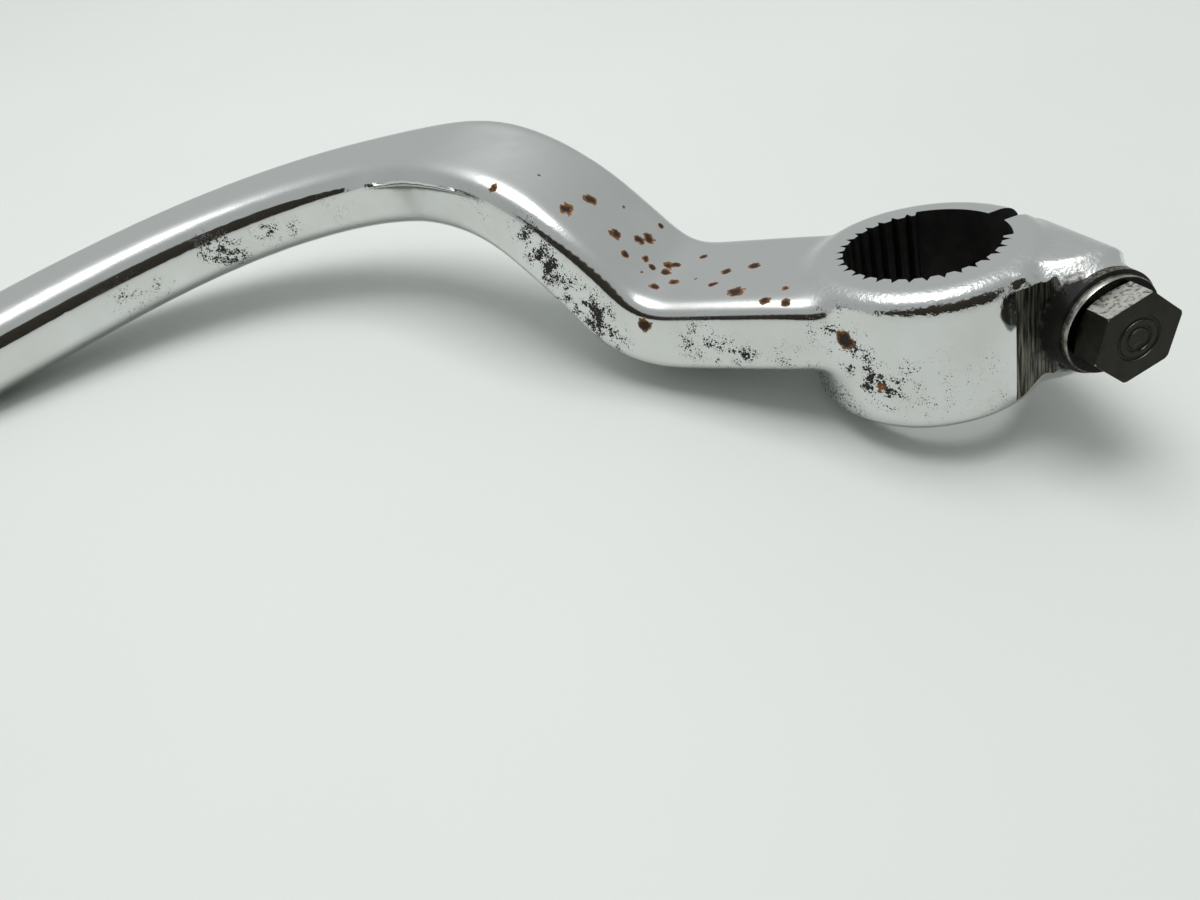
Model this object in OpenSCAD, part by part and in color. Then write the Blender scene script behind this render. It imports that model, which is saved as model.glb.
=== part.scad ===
// Brake pedal: a forged lever that a split, serrated boss clamps on its shaft.
// Origin: on the shaft axis, half way up the boss. +Z runs along the shaft axis.
// The arm leaves the boss towards -X, steps up along the shaft and ends in a foot pad.

/* [Clamp boss] */
// Outer diameter of the boss
boss_d = 31.5; // [30:0.5:36]
// Height of the boss along the shaft
boss_h = 20; // [17:0.5:26]
// Radius that rounds the outer edges of the boss
boss_round = 2.5; // [1:0.25:3.5]

/* [Serrated bore] */
// Diameter inside the tips of the serrations, which grip the shaft
tip_d = 20; // [18:0.25:20.5]
// Depth of one serration groove
groove_depth = 1; // [0.5:0.1:1.3]
// Width of one groove at the tips
groove_w = 1; // [0.6:0.05:1.2]
// Grooves that a full circle would hold
groove_pitches = 33; // [24:1:36]
// Angle of the first groove
groove_start = 82.8; // [80:0.2:90]
// Grooves that are cut, counted from the first
groove_count = 24; // [12:1:24]
// Angle where the smooth relief beside the slot starts
relief_from = -20; // [-24:1:-10]
// Angle where the relief ends
relief_to = 77; // [60:1:78]
// Depth of the relief below the tips
relief_depth = 1.2; // [0.6:0.1:1.5]

/* [Pinch slot and lug] */
// Angle of the slot
slot_angle = 14; // [8:1:20]
// Width of the slot
slot_w = 3.4; // [2:0.1:4.5]
// Side of the lug that is milled flat, measured from the shaft axis along the slot
lug_side = 4; // [3:0.25:5]
// Radius of the turned rim round the bolt
rim_r = 6.7; // [6.4:0.1:7.5]
// Distance from the slot's middle to the seat of the washer
seat_out = 18.5; // [17.5:0.25:22]
// Height of the turned rim in front of the lug
rim_h = 1.7; // [1:0.1:2.5]
// Distance from the slot's middle to the back of the far lug
far_out = 13.5; // [11:0.5:16]
// Gap between the lug's block and the faces of the boss
lug_inset = 1; // [0.5:0.25:2]
// Radius of the lug's outer corners
lug_round = 6; // [4:0.5:6.5]

/* [Pinch bolt] */
// Thread diameter
bolt_d = 6; // [5:1:6]
// Length under the head
bolt_len = 30; // [26:1:32]
// Size across the flats of the head
head_af = 10; // [9:0.5:11]
// Height of the head
head_h = 4; // [3:0.25:5]
// Height of the bolt above the middle of the boss
bolt_rise = 0.8; // [-1:0.1:1.5]
// Diameter of the washer
washer_d = 12.4; // [12:0.2:13]
// Thickness of the washer
washer_t = 1.2; // [0.8:0.1:2]

/* [Arm] */
// Width of the arm where it leaves the boss
arm_w_boss = 23.8; // [20:0.2:24.4]
// Width of the arm along its front stretch
arm_w_front = 15.5; // [13:0.5:19]
// Thickness of the arm where it leaves the boss
arm_t_boss = 11.4; // [9:0.2:13]
// Thickness of the arm near the pad
arm_t_front = 12.7; // [10:0.5:15]
// Corner radius of the section at the boss
corner_boss = 2.7; // [1.5:0.1:3.5]
// Corner radius of the section along the front stretch
corner_front = 4.9; // [3:0.1:5]
// Height of the arm's middle above the middle of the boss
arm_rise = 3; // [2:0.25:4]
// Direction of the arm where it leaves the boss
arm_heading = 152.4; // [146:0.2:158]
// Small turn back over the step
step_turn = 6.8; // [0:0.2:12]
// Steepest climb of the step
step_climb = 51.5; // [35:0.5:55]
// Length of the step
step_len = 59; // [50:1:70]
// Turn of the long bow after the step
bow_turn = 69; // [40:1:75]
// Length of the long bow
bow_len = 97; // [85:1:120]
// Slope down towards the pad
bow_drop = 5.5; // [0:0.5:8]
// Roll of the section along the front stretch
arm_roll = 11; // [0:1:15]

/* [Foot pad] */
// Length of the pad
pad_len = 30; // [22:1:45]
// Width of the pad along the shaft's direction
pad_w = 30; // [24:1:45]
// Thickness of the pad
pad_t = 8.5; // [7:0.5:12]
// Distance from the arm's middle to the pad's middle, outwards along the shaft
pad_lift = 11.5; // [9:0.5:12]
// Slope of the pad up from the bow
pad_rise = 9; // [0:1:10]

/* [Hidden] */
$fn = 96;
CUT = 1;               // how far a cut runs past the face it opens
HOLE_GAP = 0.2;        // play between the bolt and the near lug's hole, each side
THREAD_GAP = 0.05;     // play that stands for the thread in the far lug
SHAFT_GAP = 0.05;      // room between the bolt and the shaft
tip_r = tip_d / 2;
shank_r = bolt_d / 2 - THREAD_GAP;
bolt_out = tip_r + bolt_d / 2;     // the bolt passes just outside the shaft
rim_top = bolt_out + rim_r;
chamfer = 0.45;                    // chamfer on the bolt's tip and the bore's mouth

// Stations along the arm, as lengths from its start inside the boss
ARM_START = [-7, 1.7];
step_from = 24;
step_peak = step_from + 16;
step_to = step_from + step_len;
bow_from = step_to - 5;
bow_to = bow_from + bow_len;
flare_from = bow_to + 4;
flare_to = flare_from + 22;
arm_end = flare_to + pad_len - 4;
turn_from = step_peak + 2;         // where the arm turns back a little over the step
turn_to = turn_from + 18;
roll_from = step_to - 28;          // where the section rolls over
roll_to = step_to - 11;
thin_from = step_from + 4;         // where the arm gets narrower
thin_to = bow_from + 18;
deepen_from = bow_from + 9;        // where it gets thicker again
deepen_to = bow_to - 15;
soften_from = step_from + 6;       // where its corners get rounder
soften_to = bow_to - 35;
STEP = 3.5;                        // length of one slice of the arm
CORNER_STEPS = 4;                  // faces round one corner of the section

// Smooth change from 0 to 1 between two stations
function ease(s, a, b) = let (q = min(max((s - a) / (b - a), 0), 1)) q * q * (3 - 2 * q);
// Part of the way from a to b, from 0 to 1
function part_way(s, a, b) = min(max((s - a) / (b - a), 0), 1);
function heading(s) = arm_heading - step_turn * ease(s, turn_from, turn_to)
    + bow_turn * sin(90 * part_way(s, bow_from, bow_to));
function climb(s) = step_climb * ease(s, step_from, step_peak)
    * pow(cos(90 * part_way(s, step_peak, step_to)), 2)
    - bow_drop * ease(s, step_to - 3, bow_to - 21)
    + (bow_drop + pad_rise) * ease(s, bow_to, flare_to);
function along(s) = [cos(heading(s)) * cos(climb(s)), sin(heading(s)) * cos(climb(s)), sin(climb(s))];
function arm_width(s) = arm_w_boss + (arm_w_front - arm_w_boss) * ease(s, thin_from, thin_to)
    + (pad_t - arm_w_front) * ease(s, flare_from, flare_to);
function arm_thick(s) = arm_t_boss + (arm_t_front - arm_t_boss) * ease(s, deepen_from, deepen_to)
    + (pad_w - arm_t_front) * ease(s, flare_from, flare_to);
function corner(s) = corner_boss + (corner_front - corner_boss) * ease(s, soften_from, soften_to)
    + (pad_t / 2.4 - corner_front) * ease(s, flare_from, flare_to);
function roll(s) = -arm_roll * ease(s, roll_from, roll_to) + arm_roll * ease(s, flare_from, flare_to);
// The pad stands outwards from the arm
function pad_shift(s) = pad_lift * ease(s, flare_from, flare_to);
// The end of the pad is rounded over its last few millimetres
end_round = pad_t * 0.7;
function end_scale(s) = let (q = part_way(s, arm_end - end_round, arm_end)) sqrt(max(1 - q * q, 0.02));

// Lengths at which the arm is sliced: its straight start, even steps, then the pad's round end
bent_len = arm_end - end_round - step_from;
slices = ceil(bent_len / STEP);
stations = concat(
    [0],
    [for (i = [0:slices]) step_from + bent_len * i / slices],
    [for (a = [30, 55, 78]) arm_end - end_round + end_round * sin(a)]
);
last = len(stations) - 1;
// Middle of the arm at each station, from the directions on the way there
middles = [
    for (
        i = 0, p = [ARM_START[0], ARM_START[1], arm_rise];
        i <= last;
        p = i < last ? p + along((stations[i] + stations[i + 1]) / 2) * (stations[i + 1] - stations[i]) : p,
        i = i + 1
    ) p
];

// One slice of the arm: a rolled rectangle with round corners, square to the arm
function slice(i) =
    let (
        s = stations[i],
        w = arm_width(s) * end_scale(s) / 2,
        t = (arm_thick(s) - pad_t + pad_t * end_scale(s)) / 2,
        r = min(corner(s), w * 0.98, t * 0.98),
        side = [-sin(heading(s)), cos(heading(s)), 0],
        up = cross(along(s), side),
        across = side * cos(roll(s)) + up * sin(roll(s)),
        over = up * cos(roll(s)) - side * sin(roll(s)),
        mid = middles[i] + [0, 0, pad_shift(s)]
    )
    [
        for (k = [0:3]) for (j = [0:CORNER_STEPS])
            let (
                a = 90 * k + 90 * j / CORNER_STEPS,
                sx = k == 0 || k == 3 ? 1 : -1,
                sy = k < 2 ? 1 : -1
            )
            mid + across * (sx * (w - r) + r * cos(a)) + over * (sy * (t - r) + r * sin(a))
    ];

// The arm and pad as one skin drawn over the slices
module arm() {
    ring = 4 * (CORNER_STEPS + 1);
    points = [for (i = [0:last]) each slice(i)];
    sides = [
        for (i = [0:last - 1]) for (j = [0:ring - 1])
            let (a = i * ring + j, b = i * ring + (j + 1) % ring)
            each [[a, a + ring, b], [b, a + ring, b + ring]]
    ];
    start = [for (j = [0:ring - 1]) j];
    finish = [for (j = [0:ring - 1]) last * ring + ring - 1 - j];
    polyhedron(points, concat(sides, [start, finish]));
}

// Outline with round corners, from x0 to x1 and as high as h, with its own radius on each end
module round_ended(x0, x1, h, r0, r1) {
    translate([x0 + r0, -h / 2]) square([x1 - r1 - x0 - r0, h]);
    translate([x0, -h / 2 + r0]) square([r0, h - 2 * r0]);
    translate([x1 - r1, -h / 2 + r1]) square([r1, h - 2 * r1]);
    for (m = [-1, 1]) {
        translate([x0 + r0, m * (h / 2 - r0)]) circle(r0);
        translate([x1 - r1, m * (h / 2 - r1)]) circle(r1);
    }
}

// The ring of the boss, still solid, with its outer edges rounded
module boss() {
    rotate_extrude() {
        translate([0, -boss_h / 2]) square([boss_d / 2 - boss_round, boss_h]);
        translate([0, -boss_h / 2 + boss_round]) square([boss_d / 2, boss_h - 2 * boss_round]);
        for (m = [-1, 1])
            translate([boss_d / 2 - boss_round, m * (boss_h / 2 - boss_round)]) circle(boss_round);
    }
}

// Turns what is drawn along +Z to run along the bolt, with its start in the slot's middle.
// side is 1 towards the bolt's head and -1 towards the far lug.
module along_bolt(side) {
    rotate([0, 0, slot_angle]) rotate([90 * side, 0, 0]) children();
}

// The lug on the head's side: a milled block that tapers to a turned rim
module near_lug() {
    block_out = seat_out - rim_h;
    taper_r = rim_r + 0.4;
    along_bolt(1) {
        intersection() {
            linear_extrude(block_out)
                round_ended(lug_side, rim_top, boss_h - 2 * lug_inset, 1.5, lug_round);
            translate([bolt_out, bolt_rise, 0])
                cylinder(h = block_out, r1 = taper_r + block_out * 0.8, r2 = taper_r);
        }
        translate([bolt_out, bolt_rise, 0]) cylinder(h = seat_out, r = rim_r);
    }
}

// The lug on the far side, which takes the bolt's thread
module far_lug() {
    along_bolt(-1) translate([bolt_out, -bolt_rise, 0]) {
        cylinder(h = far_out - chamfer, r = rim_r);
        translate([0, 0, far_out - chamfer - 0.001])
            cylinder(h = chamfer + 0.001, r1 = rim_r, r2 = rim_r - chamfer);
    }
}

// Grooves and relief that open the bore from its tips outwards
module bore_cuts() {
    cut_h = boss_h + 2 * CUT;
    translate([0, 0, -cut_h / 2]) {
        cylinder(h = cut_h, r = tip_r);
        for (k = [0:groove_count - 1])
            rotate([0, 0, groove_start + k * 360 / groove_pitches])
                linear_extrude(cut_h)
                    polygon([[tip_r * 0.9, -groove_w * 0.6], [tip_r + groove_depth, 0], [tip_r * 0.9, groove_w * 0.6]]);
        linear_extrude(cut_h) intersection() {
            circle(tip_r + relief_depth);
            polygon([
                [0, 0],
                for (q = [0:3]) 2 * tip_r * [cos(relief_from + (relief_to - relief_from) * q / 3),
                    sin(relief_from + (relief_to - relief_from) * q / 3)]
            ]);
        }
    }
}

module slot_cut() {
    rotate([0, 0, slot_angle])
        translate([0, -slot_w / 2, -boss_h / 2 - CUT])
            cube([rim_top + 2 * CUT, slot_w, boss_h + 2 * CUT]);
}

module bolt_holes() {
    along_bolt(1) translate([bolt_out, bolt_rise, 0])
        cylinder(h = seat_out + CUT, r = bolt_d / 2 + HOLE_GAP);
    along_bolt(-1) translate([bolt_out, -bolt_rise, -CUT])
        cylinder(h = far_out + 2 * CUT, r = bolt_d / 2);
}

module pedal_arm() {
    color([0.78, 0.79, 0.8]) difference() {
        union() {
            arm();
            boss();
            near_lug();
            far_lug();
        }
        bore_cuts();
        slot_cut();
        bolt_holes();
    }
}

module clamp_bolt() {
    seat = seat_out + washer_t;
    color([0.32, 0.32, 0.33]) along_bolt(1) translate([bolt_out + SHAFT_GAP, bolt_rise, 0]) {
        intersection() {
            translate([0, 0, seat]) rotate([0, 0, 15]) cylinder(h = head_h, d = head_af / cos(30), $fn = 6);
            translate([0, 0, seat]) cylinder(h = head_h, r1 = head_af / 2 + head_h, r2 = head_af / 2 * 0.98);
        }
        translate([0, 0, seat + 0.01 - bolt_len + chamfer]) cylinder(h = bolt_len - chamfer, r = shank_r);
        translate([0, 0, seat + 0.01 - bolt_len]) cylinder(h = chamfer, r1 = shank_r - chamfer, r2 = shank_r);
    }
}

module clamp_washer() {
    color([0.45, 0.45, 0.46]) along_bolt(1) translate([bolt_out, bolt_rise, seat_out])
        difference() {
            cylinder(h = washer_t, d = washer_d);
            translate([0, 0, -CUT]) cylinder(h = washer_t + 2 * CUT, r = bolt_d / 2 + HOLE_GAP);
        }
}

pedal_arm();
clamp_bolt();
clamp_washer();
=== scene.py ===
import math

import bpy
import numpy as np
from mathutils import Matrix, Vector


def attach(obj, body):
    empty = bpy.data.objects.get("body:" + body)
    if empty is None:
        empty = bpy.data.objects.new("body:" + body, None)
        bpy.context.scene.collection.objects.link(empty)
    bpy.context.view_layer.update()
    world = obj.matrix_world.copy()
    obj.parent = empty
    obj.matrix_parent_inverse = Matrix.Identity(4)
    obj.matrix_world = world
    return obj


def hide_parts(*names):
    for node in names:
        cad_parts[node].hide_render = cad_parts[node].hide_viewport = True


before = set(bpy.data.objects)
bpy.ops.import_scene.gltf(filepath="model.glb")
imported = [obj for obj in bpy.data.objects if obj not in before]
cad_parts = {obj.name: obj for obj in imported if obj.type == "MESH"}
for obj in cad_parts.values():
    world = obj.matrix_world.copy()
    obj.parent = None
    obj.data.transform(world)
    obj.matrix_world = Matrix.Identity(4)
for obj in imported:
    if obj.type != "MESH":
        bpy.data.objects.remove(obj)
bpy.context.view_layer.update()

# The place: a plain pale table that the pedal lies on as it would, propped on its boss and its pad, seen
# from close by and from above. The camera stands about 13 cm from the boss.
MM = 0.001
camera_place = Vector((-29.95, -111.14, 61.45)) * MM
camera_right = Vector((0.9641, 0, -0.2654))
camera_up = Vector((0.2204, 0.5570, 0.8007))
camera_lens = 26.1
camera_sensor = 36
nearest_drawn = 5 * MM
table_slope = Vector((-0.155, 0.17))      # rise of the table along X and along Y, in the pedal's frame
table_size = 4
table_clouds = 9                          # faint clouds in the table's paint, to the metre


def colour(code):
    """A hex colour as linear light."""
    parts = [int(code[i:i + 2], 16) / 255 for i in (0, 2, 4)]
    return [p / 12.92 if p <= 0.04045 else ((p + 0.055) / 1.055) ** 2.4 for p in parts] + [1]


def per_mm(size):
    """Scale of a pattern whose grains are size millimetres across."""
    return 1 / (size * MM)


def new_material(name):
    """A material with no nodes yet."""
    material = bpy.data.materials.new(name)
    material.use_nodes = True
    material.node_tree.nodes.clear()
    return material


def add(material, kind, links=(), **settings):
    """Adds a node with its settings. links gives inputs a value, a node or a (node, output) pair."""
    tree = material.node_tree
    node = tree.nodes.new(kind)
    for name, value in settings.items():
        setattr(node, name, value)
    for socket, source in dict(links).items():
        if isinstance(source, bpy.types.Node):
            source = (source, 0)
        if isinstance(source, tuple) and isinstance(source[0], bpy.types.Node):
            tree.links.new(source[0].outputs[source[1]], node.inputs[socket])
        else:
            node.inputs[socket].default_value = source
    return node


bpy.ops.object.select_all(action="DESELECT")
bpy.ops.object.camera_add()
camera = bpy.context.object
camera.name = "camera"
camera_turn = Matrix((camera_right, camera_up, camera_right.cross(camera_up))).transposed()
camera.matrix_world = Matrix.Translation(camera_place) @ camera_turn.to_4x4()
camera.data.lens = camera_lens
camera.data.sensor_width = camera_sensor
camera.data.clip_start = nearest_drawn
bpy.context.scene.camera = camera

# The table touches the lowest points of the pedal, so its height comes from the solids.
table_up = Vector((-table_slope.x, -table_slope.y, 1)).normalized()
lowest = min(table_up.dot(v.co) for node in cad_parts.values() for v in node.data.vertices)
table_turn = table_up.to_track_quat("Z", "Y").to_euler()
bpy.ops.mesh.primitive_plane_add(size=table_size, location=table_up * lowest, rotation=table_turn)
table = bpy.context.object
table.name = "table"

# Painted board, a little uneven in tone. It hides nothing from below, so that low views see the pedal.
board = new_material("pale_painted_board")
place = add(board, "ShaderNodeTexCoord")
cloud = add(board, "ShaderNodeTexNoise", {"Vector": (place, "Object"), "Scale": table_clouds, "Detail": 3})
tone = add(board, "ShaderNodeMix", {"Factor": cloud, "A": colour("DFE3DF"), "B": colour("E9EBE7")},
           data_type="RGBA")
paint = add(board, "ShaderNodeBsdfPrincipled", {"Base Color": (tone, "Result"), "Roughness": 0.55})
open_side = add(board, "ShaderNodeBsdfTransparent")
side = add(board, "ShaderNodeNewGeometry")
both = add(board, "ShaderNodeMixShader", {0: (side, "Backfacing"), 1: paint, 2: open_side})
add(board, "ShaderNodeOutputMaterial", {"Surface": both})
table.data.materials.append(board)

# Soft light: a pale room, a wide lamp overhead and a dark card behind the camera that the chrome mirrors.
room_light = 0.93
lamp_place = Vector((-0.03, -0.01, 0.75))
lamp_target = Vector((-0.06, 0.01, 0.01))
lamp_size = 0.5
lamp_power = 3.6
card_place = (-0.1, -0.6, 0.05)
card_size = (1.8, 0.55, 1)
card_tilt = math.radians(80)
room = bpy.data.worlds.new("pale_room")
bpy.context.scene.world = room
room.use_nodes = True
room.node_tree.nodes["Background"].inputs["Color"].default_value = colour("BCC0C0")
room.node_tree.nodes["Background"].inputs["Strength"].default_value = room_light
bpy.ops.object.light_add(type="AREA", location=lamp_place)
lamp = bpy.context.object
lamp.name = "lamp_overhead"
lamp.data.size = lamp_size
lamp.data.energy = lamp_power
lamp.rotation_euler = (lamp_target - lamp_place).to_track_quat("-Z", "Y").to_euler()
bpy.ops.mesh.primitive_plane_add(size=1, location=card_place, rotation=(card_tilt, 0, 0))
card = bpy.context.object
card.name = "dark_card"
card.scale = card_size
card.visible_camera = False
felt = new_material("dark_felt")
fibre = add(felt, "ShaderNodeBsdfPrincipled", {"Base Color": colour("3A332A"), "Roughness": 0.9})
add(felt, "ShaderNodeOutputMaterial", {"Surface": fibre})
card.data.materials.append(felt)

# Pedal arm: one steel drop forging, polished and chrome plated. Its boss is bored, broached with
# serrations and sawn open, and the lug beside the slot is milled flat for the washer of the pinch bolt.
# Sizes are in mm and angles in degrees. Stations are lengths along the arm from its start in the boss.
boss_d = 31.5
boss_h = 20
boss_round = 2.5
tip_r = 10                     # radius inside the tips of the bore's serrations
groove_depth = 1
groove_shoulder = 0.45         # depth of a groove beside its bottom, as a share of its depth
groove_pitches = 33            # grooves that a full circle would hold
groove_start = 82.8            # angle of the first groove
groove_count = 24
relief_from = -20              # the smooth relief beside the slot
relief_to = 77
relief_depth = 1.2
slot_angle = 14
slot_w = 3.4
arm_start = Vector((-7, 1.7, 3))
arm_heading = 152.4            # the arm's direction where it leaves the boss, and how far it turns and climbs
step_turn = 6.8
step_climb = 51.5
step_len = 59
bow_turn = 69
bow_len = 97
bow_drop = 5.5
arm_roll = 11
arm_w_boss = 23.8              # the arm's section at the boss and along the front stretch
arm_w_front = 15.5
arm_t_boss = 11.4
arm_t_front = 12.7
corner_boss = 2.7
corner_front = 4.9
pad_len = 30
pad_w = 30
pad_t = 8.5
pad_lift = 11.5
pad_rise = 9
corner_pad = pad_t / 2.4
end_round = pad_t * 0.7
step_from = 24
step_peak = step_from + 16
step_to = step_from + step_len
bow_from = step_to - 5
bow_to = bow_from + bow_len
flare_from = bow_to + 4
flare_to = flare_from + 22
arm_end = flare_to + pad_len - 4
turn_from = step_peak + 2      # where the arm turns back a little over the step
turn_to = turn_from + 18
drop_from = step_to - 3        # where it starts to slope down
drop_to = bow_to - 21
roll_from = step_to - 28       # where the section rolls over
roll_to = step_to - 11
thin_from = step_from + 4      # where the arm gets narrower
thin_to = bow_from + 18
deepen_from = bow_from + 9     # where it gets a little thicker
deepen_to = bow_to - 15
soften_from = step_from + 6    # where its corners get rounder
soften_to = bow_to - 35
slice_step = 1.5
last_step = 0.6                # closer slices round off the pad's end
least_scale = 0.02             # the last slice's share of the section, squared
skin_grain = 0.5               # size of the skin's faces, which sets how finely the forging is drawn


def part_way(s, a, b):
    """Part of the way from a to b, from 0 to 1."""
    return min(max((s - a) / (b - a), 0), 1)


def ease(s, a, b):
    """Smooth change from 0 to 1 between two stations."""
    q = part_way(s, a, b)
    return q * q * (3 - 2 * q)


def heading(s):
    """Direction of the arm at a station, seen from above."""
    bow = bow_turn * math.sin(math.pi / 2 * part_way(s, bow_from, bow_to))
    return math.radians(arm_heading - step_turn * ease(s, turn_from, turn_to) + bow)


def climb(s):
    """Slope of the arm at a station: up the step, a little down along the bow, and up again to the pad."""
    fade = math.cos(math.pi / 2 * part_way(s, step_peak, step_to)) ** 2
    step = step_climb * ease(s, step_from, step_peak) * fade
    drop = bow_drop * ease(s, drop_from, drop_to) - (bow_drop + pad_rise) * ease(s, bow_to, flare_to)
    return math.radians(step - drop)


def along(s):
    """Direction of the arm at a station, which is a length from the arm's start inside the boss."""
    h = heading(s)
    c = climb(s)
    return Vector((math.cos(h) * math.cos(c), math.sin(h) * math.cos(c), math.sin(c)))


def arm_width(s):
    front = arm_w_boss + (arm_w_front - arm_w_boss) * ease(s, thin_from, thin_to)
    return front + (pad_t - arm_w_front) * ease(s, flare_from, flare_to)


def arm_thick(s):
    front = arm_t_boss + (arm_t_front - arm_t_boss) * ease(s, deepen_from, deepen_to)
    return front + (pad_w - arm_t_front) * ease(s, flare_from, flare_to)


def corner(s):
    front = corner_boss + (corner_front - corner_boss) * ease(s, soften_from, soften_to)
    return front + (corner_pad - corner_front) * ease(s, flare_from, flare_to)


def roll(s):
    return math.radians(arm_roll * (ease(s, flare_from, flare_to) - ease(s, roll_from, roll_to)))


def section_turn(s):
    """Axes of the section at a station: across the arm, over it, and along it, as the columns of a matrix."""
    side = Vector((-math.sin(heading(s)), math.cos(heading(s)), 0))
    up = along(s).cross(side)
    across = side * math.cos(roll(s)) + up * math.sin(roll(s))
    over = up * math.cos(roll(s)) - side * math.sin(roll(s))
    return Matrix((across, over, across.cross(over))).transposed()


def arm_slices():
    """Stations with the middle of the arm at each, every slice_step along it."""
    s = 0
    middle = arm_start.copy()
    while s < arm_end - last_step / 2:
        yield s, middle + Vector((0, 0, pad_lift * ease(s, flare_from, flare_to)))
        step = slice_step if s < arm_end - end_round - slice_step else last_step
        middle += along(s + step / 2) * step
        s += step


def only(obj):
    """Makes an object the only one selected, and the active one."""
    bpy.ops.object.select_all(action="DESELECT")
    obj.select_set(True)
    bpy.context.view_layer.objects.active = obj


def modify(obj, kind, **settings):
    """Adds a modifier to an object and applies it."""
    only(obj)
    bpy.ops.object.modifier_add(type=kind)
    modifier = obj.modifiers[-1]
    for name, value in settings.items():
        setattr(modifier, name, value)
    bpy.ops.object.modifier_apply(modifier=modifier.name)


def cut(obj, tool, operation="DIFFERENCE"):
    """Cuts an object with a tool, or joins or trims it, and takes the tool away."""
    modify(obj, "BOOLEAN", operation=operation, object=tool, solver="EXACT")
    bpy.data.objects.remove(tool)


# The bar: slices of a rounded rectangle set along the arm's path and bridged into one skin.
slices = []
for s, middle in arm_slices():
    q = part_way(s, arm_end - end_round, arm_end)
    end_scale = math.sqrt(max(1 - q * q, least_scale))
    w = arm_width(s) * end_scale
    t = arm_thick(s) - pad_t + pad_t * end_scale
    bpy.ops.object.select_all(action="DESELECT")
    bpy.ops.mesh.primitive_plane_add(size=1, location=middle * MM, rotation=section_turn(s).to_euler())
    piece = bpy.context.object
    piece.scale = (w * MM, t * MM, 1)
    bpy.ops.object.transform_apply(location=True, rotation=True, scale=True)
    bpy.ops.object.mode_set(mode="EDIT")
    bpy.ops.mesh.bevel(offset=min(corner(s), w * 0.49, t * 0.49) * MM, segments=6, affect="VERTICES")
    bpy.ops.object.mode_set(mode="OBJECT")
    slices.append(piece)
arm = slices[0]
arm.name = "forged_arm"
only(arm)
for piece in slices:
    piece.select_set(True)
bpy.ops.object.join()
bpy.ops.object.mode_set(mode="EDIT")
bpy.ops.mesh.select_all(action="SELECT")
bpy.ops.mesh.delete(type="ONLY_FACE")
bpy.ops.mesh.select_all(action="SELECT")
bpy.ops.mesh.bridge_edge_loops(type="SINGLE")
bpy.ops.mesh.select_all(action="SELECT")
bpy.ops.mesh.fill_holes(sides=0)
bpy.ops.mesh.normals_make_consistent(inside=False)
bpy.ops.object.mode_set(mode="OBJECT")

# The boss, and the two lugs that stand out beside the slot. They melt into the bar as a forging's parts do.
# Places on the lugs are given along the slot, upwards, and out along the bolt.
lug_side = 4
lug_inset = 1
lug_round = 6
lug_draft = 0.8                # how fast the near lug's cone widens away from the rim
rim_r = 6.7
rim_h = 1.7
seat_out = 18.5
far_out = 13.5
bolt_d = 6
bolt_rise = 0.8
hole_gap = 0.2
bolt_out = tip_r + bolt_d / 2
rim_top = bolt_out + rim_r
block_out = seat_out - rim_h
taper_r = rim_r + 0.4
mill_side = 3.1                # the milled face beside the rim: where it starts, ends and stops above
mill_end = 8.5
mill_top = 7.6
mill_out = 15.3
shoulder_r = 9.6               # the swell of the boss that the milled face is cut into
shoulder_side = mill_side + 0.8
mill_cut = 0.3                 # what the cutter takes off the shoulder
rim_short = 0.6                # how far the forged rim ends under the turned one
bpy.ops.mesh.primitive_cylinder_add(vertices=128, radius=boss_d / 2 * MM, depth=boss_h * MM)
boss = bpy.context.object
modify(boss, "BEVEL", width=boss_round * MM, segments=6, angle_limit=math.radians(60))

slot_way = Vector((math.cos(math.radians(slot_angle)), math.sin(math.radians(slot_angle)), 0))
bolt_way = Vector((slot_way.y, -slot_way.x, 0))
bolt_turn = Matrix((slot_way, Vector((0, 0, 1)), bolt_way)).transposed()


def at_bolt(x, y, z):
    """A place given along the slot, upwards, and along the bolt towards its head."""
    return (bolt_turn @ Vector((x, y, z))) * MM


def add_round(r, z0, z1, x=bolt_out, y=bolt_rise, r_end=None, vertices=96):
    """A cylinder or cone along the bolt from z0 to z1."""
    bpy.ops.object.select_all(action="DESELECT")
    top_r = r if r_end is None else r_end
    bpy.ops.mesh.primitive_cone_add(vertices=vertices, radius1=r * MM, radius2=top_r * MM,
                                    depth=(z1 - z0) * MM, location=at_bolt(x, y, (z0 + z1) / 2),
                                    rotation=bolt_turn.to_euler())
    return bpy.context.object


def add_block(low, high):
    """A block between two corners given along the slot, upwards and along the bolt."""
    bpy.ops.object.select_all(action="DESELECT")
    middle = [(a + b) / 2 for a, b in zip(low, high)]
    size = [(b - a) * MM for a, b in zip(low, high)]
    bpy.ops.mesh.primitive_cube_add(size=1, location=at_bolt(*middle), rotation=bolt_turn.to_euler())
    block = bpy.context.object
    block.scale = size
    bpy.ops.object.transform_apply(location=True, rotation=True, scale=True)
    return block


near_lug = add_block((lug_side, lug_inset - boss_h / 2, 0), (rim_top, boss_h / 2 - lug_inset, block_out))
only(near_lug)
bpy.ops.object.mode_set(mode="EDIT")
bpy.ops.mesh.select_all(action="DESELECT")
bpy.ops.object.mode_set(mode="OBJECT")
outer = at_bolt(rim_top, 0, 0).dot(slot_way)
for edge in near_lug.data.edges:
    ends = [near_lug.matrix_world @ near_lug.data.vertices[i].co for i in edge.vertices]
    far_side = all(abs(end.dot(slot_way) - outer) < 1e-5 for end in ends)
    edge.select = far_side and abs((ends[1] - ends[0]).normalized().dot(bolt_way)) > 0.9
bpy.ops.object.mode_set(mode="EDIT")
bpy.ops.mesh.bevel(offset=lug_round * MM, segments=8)
bpy.ops.object.mode_set(mode="OBJECT")
cut(near_lug, add_round(taper_r + block_out * lug_draft, 0, block_out, r_end=taper_r), "INTERSECT")
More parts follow.
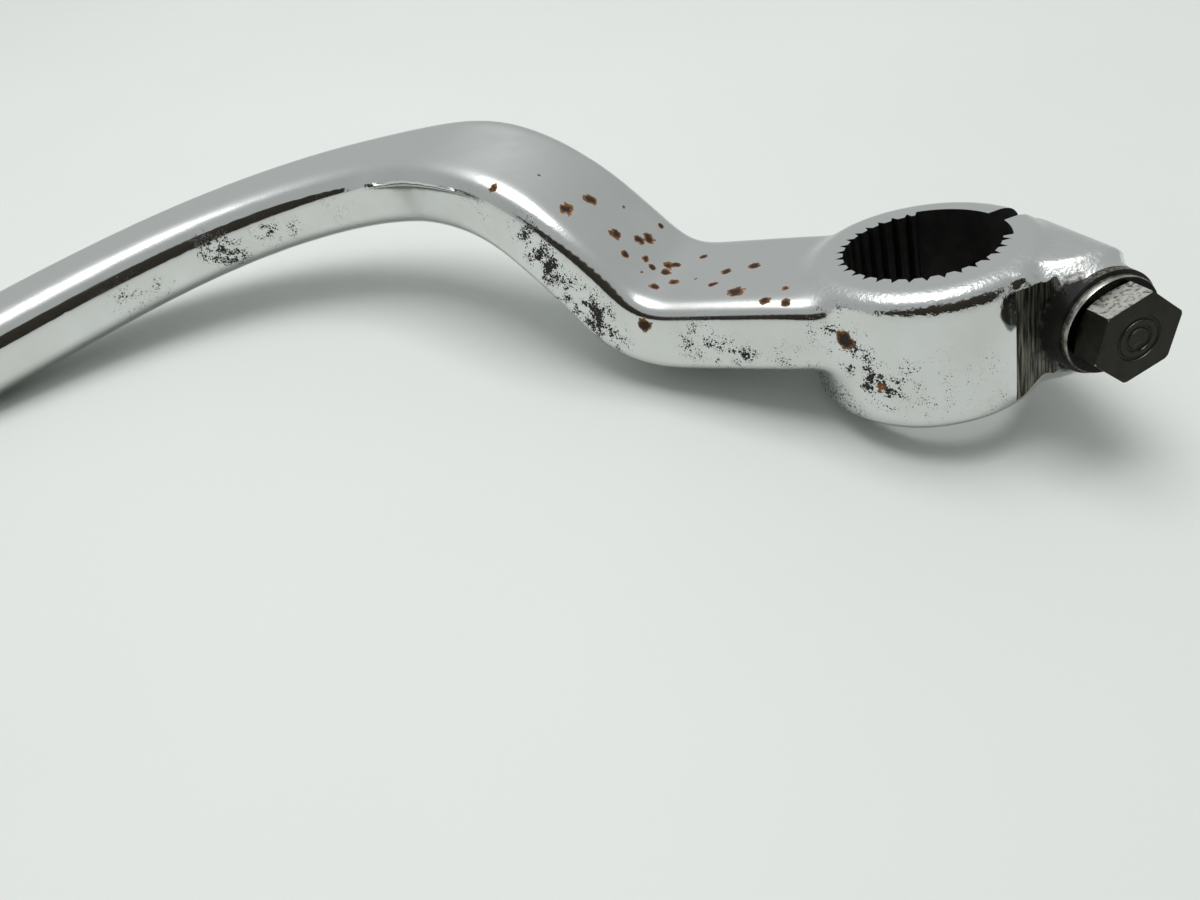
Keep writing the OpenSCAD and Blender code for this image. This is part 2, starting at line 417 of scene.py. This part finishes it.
shoulder = add_round(shoulder_r, block_out / 2, mill_out + mill_cut, x=0)
cut(shoulder, add_block((shoulder_side, -boss_h, 0), (mill_end, boss_h, seat_out)), "INTERSECT")
rim = add_round(rim_r, 0, seat_out - rim_short)
far_lug = add_round(rim_r, -far_out, 0)
only(arm)
for part in (boss, near_lug, shoulder, rim, far_lug):
    part.select_set(True)
bpy.ops.object.join()
bpy.ops.object.transform_apply(location=True, rotation=True, scale=True)
modify(arm, "REMESH", mode="VOXEL", voxel_size=skin_grain * MM)
modify(arm, "SMOOTH", factor=0.5, iterations=10)

# Where the bar and the lugs meet the boss, the forging has fillets: the skin is eased more in those places.
ring_reach = 3.2
lug_reach = 7
bar_side = (-14, -6)           # the boss's fillet fades out between these X, going away from the bar
fillets = arm.vertex_groups.new(name="fillets")
lug_root = at_bolt(bolt_out - 5, 0, 8)
for v in arm.data.vertices:
    x, y, z = v.co / MM
    ring = math.exp(-((math.hypot(x, y) - boss_d / 2) / ring_reach) ** 2)
    lug = math.exp(-((v.co - lug_root).length / MM / lug_reach) ** 2)
    fillets.add([v.index], min(1, ring * (1 - part_way(x, *bar_side)) + 0.5 * lug), "REPLACE")
modify(arm, "SMOOTH", factor=0.5, iterations=60, vertex_group="fillets")

# The machining: the turned rim under the washer, the milled face, the broached bore, the slot and the
# bolt's hole.
cut(arm, add_round(rim_r, mill_out - 1, seat_out), "UNION")
mill = add_block((mill_side, -boss_h, mill_out), (mill_end, mill_top, 2 * seat_out))
cut(mill, add_round(rim_r, 0, 3 * seat_out))
cut(arm, mill)
bpy.ops.object.select_all(action="DESELECT")
pitch = math.radians(360 / groove_pitches)
steps = 8                      # points of the broach's outline to a pitch
bpy.ops.mesh.primitive_circle_add(vertices=groove_pitches * steps, radius=tip_r * MM, fill_type="NGON",
                                  location=(0, 0, -boss_h * MM), rotation=(0, 0, math.radians(groove_start)))
broach = bpy.context.object
bpy.ops.object.transform_apply(location=True, rotation=True, scale=True)
bpy.ops.object.mode_set(mode="EDIT")


def widen(chosen, radius):
    """Moves the broach's points that a test of their angle chooses out to a radius."""
    bpy.ops.mesh.select_all(action="DESELECT")
    bpy.ops.object.mode_set(mode="OBJECT")
    for v in broach.data.vertices:
        v.select = chosen(math.atan2(v.co.y, v.co.x))
    bpy.ops.object.mode_set(mode="EDIT")
    size = radius / tip_r
    bpy.ops.transform.resize(value=(size, size, 1), center_override=(0, 0, 0))


def near_groove(angle, steps_off):
    """Whether an angle lies a number of steps beside the bottom of a groove that is cut."""
    place = ((angle - math.radians(groove_start)) % (2 * math.pi)) / pitch
    nearest = round(place)
    return nearest % groove_pitches < groove_count and abs(abs(place - nearest) * steps - steps_off) < 0.1


bpy.ops.mesh.select_mode(type="VERT")
widen(lambda angle: near_groove(angle, 0), tip_r + groove_depth)
widen(lambda angle: near_groove(angle, 1), tip_r + groove_depth * groove_shoulder)
widen(lambda angle: math.radians(relief_from) < angle < math.radians(relief_to), tip_r + relief_depth)
bpy.ops.mesh.select_all(action="SELECT")
bpy.ops.mesh.extrude_region_move(TRANSFORM_OT_translate={"value": (0, 0, 2 * boss_h * MM)})
bpy.ops.mesh.select_all(action="SELECT")
bpy.ops.mesh.normals_make_consistent(inside=False)
bpy.ops.object.mode_set(mode="OBJECT")
cut(arm, broach)
cut(arm, add_block((0, -boss_h, -slot_w / 2), (2 * rim_top, boss_h, slot_w / 2)))
cut(arm, add_round(bolt_d / 2 + hole_gap, 0, 2 * seat_out))
cut(arm, add_round(bolt_d / 2, -2 * far_out, 0))
only(arm)
bpy.ops.object.shade_smooth_by_angle(angle=math.radians(35))


# Where the surface differs: the bore, the slot and the bolt's hole are bare steel drawn nearly black, and the
# rim's wall and the milled face beside it show the cutter's lines.
def bare_place(face):
    """1 where the bare steel is drawn nearly black, 2 on the milled rim and face, 0 on the chrome."""
    middle = face.center / MM
    along_slot = middle.dot(slot_way)
    out = middle.dot(bolt_way)
    if math.hypot(middle.x, middle.y) < tip_r + relief_depth + 0.1 and abs(face.normal.z) < 0.5:
        return 1
    if abs(out) < slot_w / 2 + 0.05 and along_slot > 0 and abs(face.normal.dot(bolt_way)) > 0.9:
        return 1
    from_bolt = math.hypot(along_slot - bolt_out, middle.z - bolt_rise)
    if from_bolt < bolt_d / 2 + hole_gap + 0.1:
        return 1
    if out > mill_out and abs(from_bolt - rim_r) < 0.06 and abs(face.normal.dot(bolt_way)) < 0.3:
        return 2
    if abs(out - mill_out) < 0.05 and mill_side < along_slot < mill_end and face.normal.dot(bolt_way) > 0.9:
        return 2
    return 0


bare_places = [bare_place(face) for face in arm.data.polygons]

# Wear as attributes of the skin. A mark is 1 in its middle and 0 at twice its radius.
path = list(arm_slices())
points = np.array([v.co for v in arm.data.vertices]) / MM


def on_bar(s, across, over):
    """A place on the bar, in mm: its station, and how far it is across and over the bar's middle."""
    station, middle = min(path, key=lambda item: abs(item[0] - s))
    turn = section_turn(s)
    return middle + along(s) * (s - station) + turn @ Vector((across, over, 0))


def on_boss(angle, z):
    """A place on the boss's wall, in mm, at an angle in degrees and a height."""
    turn = math.radians(angle)
    return Vector((boss_d / 2 * math.cos(turn), boss_d / 2 * math.sin(turn), z))


def mark(name, places):
    """Writes an attribute from places, radii in mm and strengths."""
    values = np.zeros(len(points))
    for place, radius, strength in places:
        away = np.linalg.norm(points - np.array(place), axis=1)
        values = np.maximum(values, strength * np.clip(1 - away / (2 * radius), 0, 1))
    arm.data.attributes.new(name, "FLOAT", "POINT").data.foreach_set("value", values)


# Rust that has come through the plate on the top face: station, place across, radius.
top_rust = [
    (60, 9, 0.8), (51, 5, 1.0), (50, 0, 0.9), (44, 2.5, 0.9), (41, 4.5, 0.6), (41, -0.5, 0.8),
    (40, -2.5, 0.9), (40, -7, 0.5), (38, 2, 0.6), (36, 2.5, 0.6), (33, 0, 0.7), (31, -1, 0.6),
    (32, 2, 0.7), (28, 4, 0.7), (32, 6.5, 0.7), (26, -4.5, 0.6), (20.5, 5, 0.6), (20, 1, 0.7),
    (16, 7.5, 1.1), (16, -0.5, 0.8), (11, 10, 0.6), (9, 7, 0.5), (8, 10.5, 0.7), (6, 2.5, 0.4),
    (37, 5, 0.3), (24, 3, 0.3), (46, -4, 0.35), (57, 2, 0.3),
]
top_of_bar = 5.6               # how far the top face is over the bar's middle
rust = [(on_bar(s, across, top_of_bar), r, 1) for s, across, r in top_rust]
rust += [(on_bar(30, 11.9, 2.5), 0.9, 1), (on_boss(-144, 3.7), 1.1, 1), (on_boss(-128, -2.8), 0.8, 0.7)]
mark("rust", rust)

# Black pitting on the front wall: station, place over the middle, radius, strength. On the boss it is the
# angle and the height.
wall_pits = [
    (125, 1, 2.6, 1.0), (123, -1.5, 2.4, 1.0), (114, 0, 2.4, 0.7), (109, -1, 2.0, 0.6),
    (144, -0.5, 3.2, 0.55), (138, -2, 2.2, 0.55), (53, 2, 2.4, 0.7), (50, 0.5, 2.6, 0.9),
    (48, -0.5, 2.6, 1.0), (44, -1.5, 2.6, 0.85), (41, -1, 2.6, 0.9), (38, -1, 2.8, 1.0),
    (35, -2.5, 2.6, 0.9), (21, 0, 3.0, 0.75), (18, -2, 2.4, 0.7), (15, -2, 2.2, 0.8),
    (8, -3.5, 3.5, 0.45), (98, 0, 4.0, 0.3), (62, 1, 4.0, 0.3),
]
pits = [(on_bar(s, arm_width(s) / 2, over), r, k) for s, over, r, k in wall_pits]
boss_pits = [
    (-152, 5, 2.6, 0.7), (-143, 3, 2.6, 0.9), (-138, 0, 2.4, 0.9), (-132, -2.2, 2.4, 1.0),
    (-124, -3, 2.2, 1.0), (-118, -1, 3.0, 0.5), (-105, -4, 5, 0.32), (-88, -2, 5, 0.28),
    (-75, -7, 4, 0.3),
]
pits += [(on_boss(angle, z), r, k) for angle, z, r, k in boss_pits]
mark("pitting", pits)
scuffs = [(-168, -5.5, 3.0, 0.9), (-156, -7, 3.0, 0.9), (-145, -8, 2.5, 0.6)]
mark("scuffs", [(on_boss(angle, z), r, k) for angle, z, r, k in scuffs])

# Faces that look up are dulled by handling, and the walls keep their mirror.
dulled = [ease(v.normal.z, 0.3, 0.85) for v in arm.data.vertices]
arm.data.attributes.new("dulled", "FLOAT", "POINT").data.foreach_set("value", dulled)

# The boss's rounded upper edge and the lug's top keep the forging's hammered skin under the plate, and a
# painted shade darkens the surface round the rim, beside the washer.
edge_r = 14.3
edge_reach = 1.8
reach = np.hypot(points[:, 0], points[:, 1])
height = points[:, 2]
slot_place = points @ np.array(slot_way)
outwards = points @ np.array(bolt_way)
on_edge = np.exp(-((reach - edge_r) / edge_reach) ** 2) * np.clip((height - 5) / 3, 0, 1)
past_slot = np.clip((slot_place - 2) / 3, 0, 1)
on_lug = past_slot * np.clip((outwards - 5) / 3, 0, 1) * np.clip((height - 4) / 2, 0, 1)
hammered = np.maximum(on_edge, on_lug)
from_axis = np.hypot(slot_place - bolt_out, height - bolt_rise)
near_rim = np.clip((outwards - 14.5) / 1.5, 0, 1) * np.clip(1 - (from_axis - rim_r) / 2, 0, 1)
# Painted shade round the rim, deeper on the side towards the boss's middle.
rim_shade = near_rim * np.clip((bolt_out - slot_place) / 4, 0.25, 1)
for name, values in (("hammered", hammered), ("rim_shade", rim_shade)):
    arm.data.attributes.new(name, "FLOAT", "POINT").data.foreach_set("value", values)

# Worn bright chrome plate on steel: a hard mirror on the walls, a satin haze of fine scratches on top, rust
# in brown blisters with dark hearts, black pits where the plate is pierced, and painted shade round the rim.
chrome = new_material("worn_chrome_plate")
skin = (add(chrome, "ShaderNodeTexCoord"), "Object")
cloud = add(chrome, "ShaderNodeTexNoise", {"Vector": skin, "Scale": per_mm(9), "Detail": 4})
ripple = add(chrome, "ShaderNodeTexNoise", {"Vector": skin, "Scale": per_mm(2.5), "Detail": 2})
clumps = add(chrome, "ShaderNodeTexNoise", {"Vector": skin, "Scale": per_mm(1.8), "Detail": 3})
crumbs = add(chrome, "ShaderNodeTexNoise", {"Vector": skin, "Scale": per_mm(0.9), "Detail": 4})
fine = add(chrome, "ShaderNodeTexNoise", {"Vector": skin, "Scale": per_mm(0.35), "Detail": 3})
big_cells = add(chrome, "ShaderNodeTexVoronoi", {"Vector": skin, "Scale": per_mm(0.45)})
small_cells = add(chrome, "ShaderNodeTexVoronoi", {"Vector": skin, "Scale": per_mm(0.22)})
# Rust: the mark's edge is broken up by the crumbs.
rust_mark = (add(chrome, "ShaderNodeAttribute", attribute_name="rust"), "Fac")
ragged = add(chrome, "ShaderNodeMath", {0: crumbs, 1: 0.9, 2: -0.45}, operation="MULTIPLY_ADD")
rust_depth = add(chrome, "ShaderNodeMath", {0: rust_mark, 1: ragged}, operation="ADD")
rust_mask = add(chrome, "ShaderNodeMapRange", {"Value": rust_depth, "From Min": 0.36, "From Max": 0.44})
rust_heart = add(chrome, "ShaderNodeMapRange", {"Value": rust_depth, "From Min": 0.5, "From Max": 0.68})
# Pits: dots whose size follows the pitting's density.
pit_mark = (add(chrome, "ShaderNodeAttribute", attribute_name="pitting"), "Fac")
patches = add(chrome, "ShaderNodeMapRange", {"Value": clumps, "From Min": 0.38, "From Max": 0.58,
                                             "To Min": 0.2, "To Max": 1.45})
density = add(chrome, "ShaderNodeMath", {0: pit_mark, 1: patches}, operation="MULTIPLY")
dot_size = add(chrome, "ShaderNodeMath", {0: density, 1: 0.58}, operation="MULTIPLY")
big_dots = add(chrome, "ShaderNodeMath", {0: dot_size, 1: big_cells}, operation="SUBTRACT")
small_dots = add(chrome, "ShaderNodeMath", {0: dot_size, 1: small_cells}, operation="SUBTRACT")
dots = add(chrome, "ShaderNodeMath", {0: big_dots, 1: small_dots}, operation="MAXIMUM")
pit_mask = add(chrome, "ShaderNodeMapRange", {"Value": dots, "From Min": -0.02, "From Max": 0.06})
# Scuffs and painted shade: fine streaks where the arm leaves the boss, and painted shade that darkens the
# chrome round the rim beside the washer.
scuff_mark = (add(chrome, "ShaderNodeAttribute", attribute_name="scuffs"), "Fac")
streaks = add(chrome, "ShaderNodeMapRange", {"Value": fine, "From Min": 0.45, "From Max": 0.62})
scuff_depth = add(chrome, "ShaderNodeMath", {0: scuff_mark, 1: streaks}, operation="MULTIPLY")
scuff_mask = add(chrome, "ShaderNodeMapRange", {"Value": scuff_depth, "From Min": 0.25, "From Max": 0.5})
rim_shade_mark = (add(chrome, "ShaderNodeAttribute", attribute_name="rim_shade"), "Fac")
thick_rim_shade = add(chrome, "ShaderNodeMath", {0: rim_shade_mark, 1: ragged}, operation="ADD")
rim_shade_mask = add(chrome, "ShaderNodeMapRange", {"Value": thick_rim_shade, "From Min": 0.35, "From Max": 0.75})
pits_or_scuffs = add(chrome, "ShaderNodeMath", {0: pit_mask, 1: scuff_mask}, operation="MAXIMUM")
dark_mask = add(chrome, "ShaderNodeMath", {0: pits_or_scuffs, 1: rim_shade_mask}, operation="MAXIMUM")
wear_and_shade = add(chrome, "ShaderNodeMath", {0: dark_mask, 1: rust_mask}, operation="MAXIMUM")
whole = add(chrome, "ShaderNodeMath", {0: 1.0, 1: wear_and_shade}, operation="SUBTRACT")
plate_tone = add(chrome, "ShaderNodeMix", {"Factor": cloud, "A": colour("E2E4E4"), "B": colour("CBCCC8")},
                 data_type="RGBA")
dark_tone = add(chrome, "ShaderNodeMix", {"Factor": rust_heart, "A": colour("1E1B19"), "B": colour("3A281B")},
                data_type="RGBA")
pitted_and_shaded_tone = add(chrome, "ShaderNodeMix", {"Factor": dark_mask, "A": (plate_tone, "Result"),
                                            "B": (dark_tone, "Result")}, data_type="RGBA")
rust_tone = add(chrome, "ShaderNodeMix", {"Factor": rust_heart, "A": colour("80511F"), "B": colour("21140C")},
                data_type="RGBA")
surface_tone = add(chrome, "ShaderNodeMix", {"Factor": rust_mask, "A": (pitted_and_shaded_tone, "Result"),
                                             "B": (rust_tone, "Result")}, data_type="RGBA")
# Haze: the dulled faces are satin, in drifts, and worn places are rough.
dull_mark = (add(chrome, "ShaderNodeAttribute", attribute_name="dulled"), "Fac")
satin = add(chrome, "ShaderNodeMapRange", {"Value": dull_mark, "To Min": 0.07, "To Max": 0.33})
drifts = add(chrome, "ShaderNodeMapRange", {"Value": cloud, "From Min": 0.35, "From Max": 0.65,
                                            "To Min": -0.02, "To Max": 0.05})
haze = add(chrome, "ShaderNodeMath", {0: satin, 1: drifts}, operation="ADD")
rough_wear = add(chrome, "ShaderNodeMath", {0: wear_and_shade, 1: 0.75}, operation="MULTIPLY")
roughness = add(chrome, "ShaderNodeMath", {0: haze, 1: rough_wear}, operation="MAXIMUM")
# Relief: the polisher's slow waves, the grain of the dulled faces, the hammered skin, and wear that is
# sunk into the plate.
hammer_mark = (add(chrome, "ShaderNodeAttribute", attribute_name="hammered"), "Fac")
hammering = add(chrome, "ShaderNodeTexNoise", {"Vector": skin, "Scale": per_mm(0.6), "Detail": 2})
dimples = add(chrome, "ShaderNodeMath", {0: hammer_mark, 1: hammering}, operation="MULTIPLY")
peel = add(chrome, "ShaderNodeMath", {0: dimples, 1: 9.0, 2: ripple}, operation="MULTIPLY_ADD")
scratched = add(chrome, "ShaderNodeMath", {0: dull_mark, 1: fine}, operation="MULTIPLY")
grained = add(chrome, "ShaderNodeMath", {0: scratched, 1: 1.6, 2: peel}, operation="MULTIPLY_ADD")
sunk = add(chrome, "ShaderNodeMath", {0: wear_and_shade, 1: -0.8, 2: grained}, operation="MULTIPLY_ADD")
relief = add(chrome, "ShaderNodeBump", {"Height": sunk, "Strength": 0.35, "Distance": 0.03 * MM})
plate = add(chrome, "ShaderNodeBsdfPrincipled", {"Base Color": (surface_tone, "Result"), "Metallic": whole,
                                                 "Roughness": roughness, "Normal": relief})
add(chrome, "ShaderNodeOutputMaterial", {"Surface": plate})

# Bare broached and sawn steel, drawn nearly black, with lighter smears in places.
near_black_steel = new_material("near_black_bare_steel")
skin = (add(near_black_steel, "ShaderNodeTexCoord"), "Object")
smear = add(near_black_steel, "ShaderNodeTexNoise", {"Vector": skin, "Scale": per_mm(2), "Detail": 4})
smears = add(near_black_steel, "ShaderNodeMapRange", {"Value": smear, "From Min": 0.4, "From Max": 0.75})
tone = add(near_black_steel, "ShaderNodeMix", {"Factor": smears, "A": colour("0B0A09"), "B": colour("23211E")},
           data_type="RGBA")
near_black_surface = add(near_black_steel, "ShaderNodeBsdfPrincipled", {"Base Color": (tone, "Result"), "Metallic": 0.2,
                                                  "Roughness": 0.55})
add(near_black_steel, "ShaderNodeOutputMaterial", {"Surface": near_black_surface})

# Milled steel: fine upright lines left by the cutter, and painted shade that turns it black beside the rim
# and the washer.
milled = new_material("milled_lug_steel")
skin = (add(milled, "ShaderNodeTexCoord"), "Object")
turned = add(milled, "ShaderNodeMapping", {"Vector": skin, "Rotation": (0, 0, -math.radians(slot_angle))})
lined = add(milled, "ShaderNodeMapping", {"Vector": turned, "Scale": (1, 1, 0.06)})
lines = add(milled, "ShaderNodeTexNoise", {"Vector": lined, "Scale": per_mm(0.3), "Detail": 3})
blotch_noise = add(milled, "ShaderNodeTexNoise", {"Vector": skin, "Scale": per_mm(0.8), "Detail": 4})
bright_lines = add(milled, "ShaderNodeMapRange", {"Value": lines, "From Min": 0.42, "From Max": 0.64})
steel_tone = add(milled, "ShaderNodeMix", {"Factor": bright_lines, "A": colour("2C2A22"),
                                           "B": colour("87857A")}, data_type="RGBA")
rim_shade_mark = (add(milled, "ShaderNodeAttribute", attribute_name="rim_shade"), "Fac")
spread = add(milled, "ShaderNodeMath", {0: rim_shade_mark, 1: blotch_noise}, operation="ADD")
# Painted shade: the milled face turns black next to the rim.
black = add(milled, "ShaderNodeMapRange", {"Value": spread, "From Min": 0.75, "From Max": 1.1})
tone = add(milled, "ShaderNodeMix", {"Factor": black, "A": (steel_tone, "Result"), "B": colour("0D0C0A")},
           data_type="RGBA")
cutter_lines = add(milled, "ShaderNodeBump", {"Height": lines, "Strength": 0.6, "Distance": 0.05 * MM})
unshaded_metal = add(milled, "ShaderNodeMath", {0: 0.85, 1: black}, operation="SUBTRACT", use_clamp=True)
side_steel = add(milled, "ShaderNodeBsdfPrincipled", {"Base Color": (tone, "Result"), "Metallic": unshaded_metal,
                                                      "Roughness": 0.42, "Normal": cutter_lines})
add(milled, "ShaderNodeOutputMaterial", {"Surface": side_steel})
arm.data.materials.clear()
for material in (chrome, near_black_steel, milled):
    arm.data.materials.append(material)
arm.data.polygons.foreach_set("material_index", bare_places)
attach(arm, "root")
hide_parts("pedal_arm")

# Washer: a plain stamped steel washer between the rim and the bolt's head. Its faces are drawn nearly black
# as painted shade under the head, and its edge keeps the light tone of steel.
washer_d = 12.4
washer_t = 1.2
washer = add_round(washer_d / 2, seat_out, seat_out + washer_t, vertices=160)
washer.name = "plain_washer"
bpy.ops.object.transform_apply(location=True, rotation=True, scale=True)
cut(washer, add_round(bolt_d / 2 + hole_gap, seat_out - 1, seat_out + washer_t + 1))
modify(washer, "BEVEL", width=0.16 * MM, segments=2, angle_limit=math.radians(60))
only(washer)
bpy.ops.object.shade_smooth_by_angle(angle=math.radians(30))
modify(washer, "WEIGHTED_NORMAL", keep_sharp=True)
# The edge is marked 1 and keeps the steel's tone; the faces are marked 0 and take the painted shade.
edge_marks = [1 - ease(abs(face.normal.dot(bolt_way)), 0.8, 0.95) for face in washer.data.polygons]
washer.data.attributes.new("at_edge", "FLOAT", "FACE").data.foreach_set("value", edge_marks)
shaded_washer_steel = new_material("washer_steel_with_painted_shade")
skin = (add(shaded_washer_steel, "ShaderNodeTexCoord"), "Object")
grain_of_steel = add(shaded_washer_steel, "ShaderNodeTexNoise", {"Vector": skin, "Scale": per_mm(0.5), "Detail": 4})
blotch_noise = add(shaded_washer_steel, "ShaderNodeTexNoise", {"Vector": skin, "Scale": per_mm(2.2), "Detail": 3})
patches = add(shaded_washer_steel, "ShaderNodeMapRange", {"Value": blotch_noise, "From Min": 0.42, "From Max": 0.62})
edge_tone = add(shaded_washer_steel, "ShaderNodeMix", {"Factor": patches, "A": colour("C3C1B9"), "B": colour("6B685F")},
                data_type="RGBA")
edge_mark = (add(shaded_washer_steel, "ShaderNodeAttribute", attribute_name="at_edge"), "Fac")
tone = add(shaded_washer_steel, "ShaderNodeMix", {"Factor": edge_mark, "A": colour("1B1A17"), "B": (edge_tone, "Result")},
           data_type="RGBA")
dents = add(shaded_washer_steel, "ShaderNodeBump", {"Height": grain_of_steel, "Strength": 0.4, "Distance": 0.04 * MM})
rubbing = add(shaded_washer_steel, "ShaderNodeMapRange", {"Value": grain_of_steel, "From Min": 0.3, "From Max": 0.7,
                                             "To Min": 0.22, "To Max": 0.45})
steel_face = add(shaded_washer_steel, "ShaderNodeBsdfPrincipled", {"Base Color": (tone, "Result"), "Metallic": 0.95,
                                                      "Roughness": rubbing, "Normal": dents})
add(shaded_washer_steel, "ShaderNodeOutputMaterial", {"Surface": steel_face})
washer.data.materials.append(shaded_washer_steel)
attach(washer, "root")
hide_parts("clamp_washer")

# Pinch bolt: a forged hexagon-head M6 in plain steel, dark with age, its corners chamfered and rubbed, and
# the flat that faces up lightened as a painted highlight. It passes the near lug and is threaded into the far
# one.
head_af = 10
head_h = 4
bolt_len = 30
play = 0.05
corner_cut = 0.15
seat_cut = 1.6                 # slope of the chamfer under the head
head_edge = 0.18
head_turn = 15                 # degrees from the slot's direction to a corner of the head
ring_t = 0.26
seat = seat_out + washer_t
head_end = seat + head_h
shaft_x = bolt_out + play
corner_r = head_af / 2 / math.cos(math.radians(30))
bolt = add_round(corner_r, seat, head_end, x=shaft_x, vertices=6)
bolt.name = "hexagon_bolt"
bpy.ops.transform.rotate(value=math.radians(head_turn), orient_axis="Z", orient_type="LOCAL",
                         center_override=at_bolt(shaft_x, bolt_rise, seat))
bpy.ops.object.transform_apply(location=True, rotation=True, scale=True)
cone_r = corner_r - corner_cut
seat_r = head_af / 2
cut(bolt, add_round(cone_r + head_h, seat, head_end, x=shaft_x, r_end=cone_r), "INTERSECT")
cut(bolt, add_round(seat_r, seat, head_end, x=shaft_x, r_end=seat_r + seat_cut * head_h), "INTERSECT")
modify(bolt, "BEVEL", width=head_edge * MM, segments=2, angle_limit=math.radians(22))
# Rings that the forging die left on the end, and a small dent beside the middle.
for ring_r in (1.5, 2.6):
    bpy.ops.object.select_all(action="DESELECT")
    bpy.ops.mesh.primitive_torus_add(major_radius=ring_r * MM, minor_radius=ring_t * MM, major_segments=64,
                                     minor_segments=12, location=at_bolt(shaft_x, bolt_rise, head_end + 0.1),
                                     rotation=bolt_turn.to_euler())
    cut(bolt, bpy.context.object)
bpy.ops.object.select_all(action="DESELECT")
bpy.ops.mesh.primitive_uv_sphere_add(segments=32, ring_count=16, radius=1.4 * MM,
                                     location=at_bolt(shaft_x + 0.1, bolt_rise - 1.1, head_end + 1.2))
cut(bolt, bpy.context.object)
# The shank, drawn plain: the little that shows of its thread is filled with grease. It runs a little into
# the head, so that the two join.
shank_end = seat + 0.3
shank = add_round(bolt_d / 2 - play, shank_end - bolt_len, shank_end, x=shaft_x, vertices=64)
bpy.ops.object.transform_apply(location=True, rotation=True, scale=True)
cut(bolt, shank, "UNION")
only(bolt)
bpy.ops.object.shade_smooth_by_angle(angle=math.radians(30))
modify(bolt, "WEIGHTED_NORMAL", keep_sharp=True)
# The flat that faces up is lightened in speckles as a painted highlight, the head's edges are rubbed, and its
# end stays black.
highlight_way = (bolt_turn @ Vector((-0.26, 0.97, 0))).normalized()
edge_rubs_and_highlight = []
for face in bolt.data.polygons:
    facing = face.normal.dot(bolt_way)
    from_axis = face.center - at_bolt(shaft_x, bolt_rise, 0)
    far_out_on_head = (from_axis - bolt_way * from_axis.dot(bolt_way)).length > head_af * 0.45 * MM
    at_edge = 0.2 < facing < 0.96 and far_out_on_head
    edge_rubs_and_highlight.append(0.45 if at_edge else 0.8 * ease(face.normal.dot(highlight_way), 0.75, 0.95))
bolt.data.attributes.new("edge_rubs_and_highlight", "FLOAT", "FACE").data.foreach_set("value", edge_rubs_and_highlight)
aged = new_material("dark_aged_bolt_steel")
skin = (add(aged, "ShaderNodeTexCoord"), "Object")
stains = add(aged, "ShaderNodeTexNoise", {"Vector": skin, "Scale": per_mm(1.6), "Detail": 5})
specks = add(aged, "ShaderNodeTexNoise", {"Vector": skin, "Scale": per_mm(0.5), "Detail": 6})
# Painted highlight on the flat that faces up, and rubbed edges, both in speckles.
rubs_and_highlight_mark = (add(aged, "ShaderNodeAttribute", attribute_name="edge_rubs_and_highlight"), "Fac")
patches = add(aged, "ShaderNodeMapRange", {"Value": specks, "From Min": 0.48, "From Max": 0.75})
spots = add(aged, "ShaderNodeMath", {0: rubs_and_highlight_mark, 1: patches}, operation="SUBTRACT", use_clamp=True)
skin_tone = add(aged, "ShaderNodeMix", {"Factor": stains, "A": colour("161512"), "B": colour("403E38")},
                data_type="RGBA")
tone = add(aged, "ShaderNodeMix", {"Factor": spots, "A": (skin_tone, "Result"), "B": colour("D8D7CE")},
           data_type="RGBA")
pocks = add(aged, "ShaderNodeBump", {"Height": specks, "Strength": 0.5, "Distance": 0.04 * MM})
roughness = add(aged, "ShaderNodeMapRange", {"Value": stains, "From Min": 0.3, "From Max": 0.7, "To Min": 0.3,
                                             "To Max": 0.5})
bolt_skin = add(aged, "ShaderNodeBsdfPrincipled", {"Base Color": (tone, "Result"), "Metallic": 0.9,
                                                   "Roughness": roughness, "Normal": pocks})
add(aged, "ShaderNodeOutputMaterial", {"Surface": bolt_skin})
bolt.data.materials.append(aged)
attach(bolt, "root")
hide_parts("clamp_bolt")

bpy.context.scene.view_settings.view_transform = "Standard"
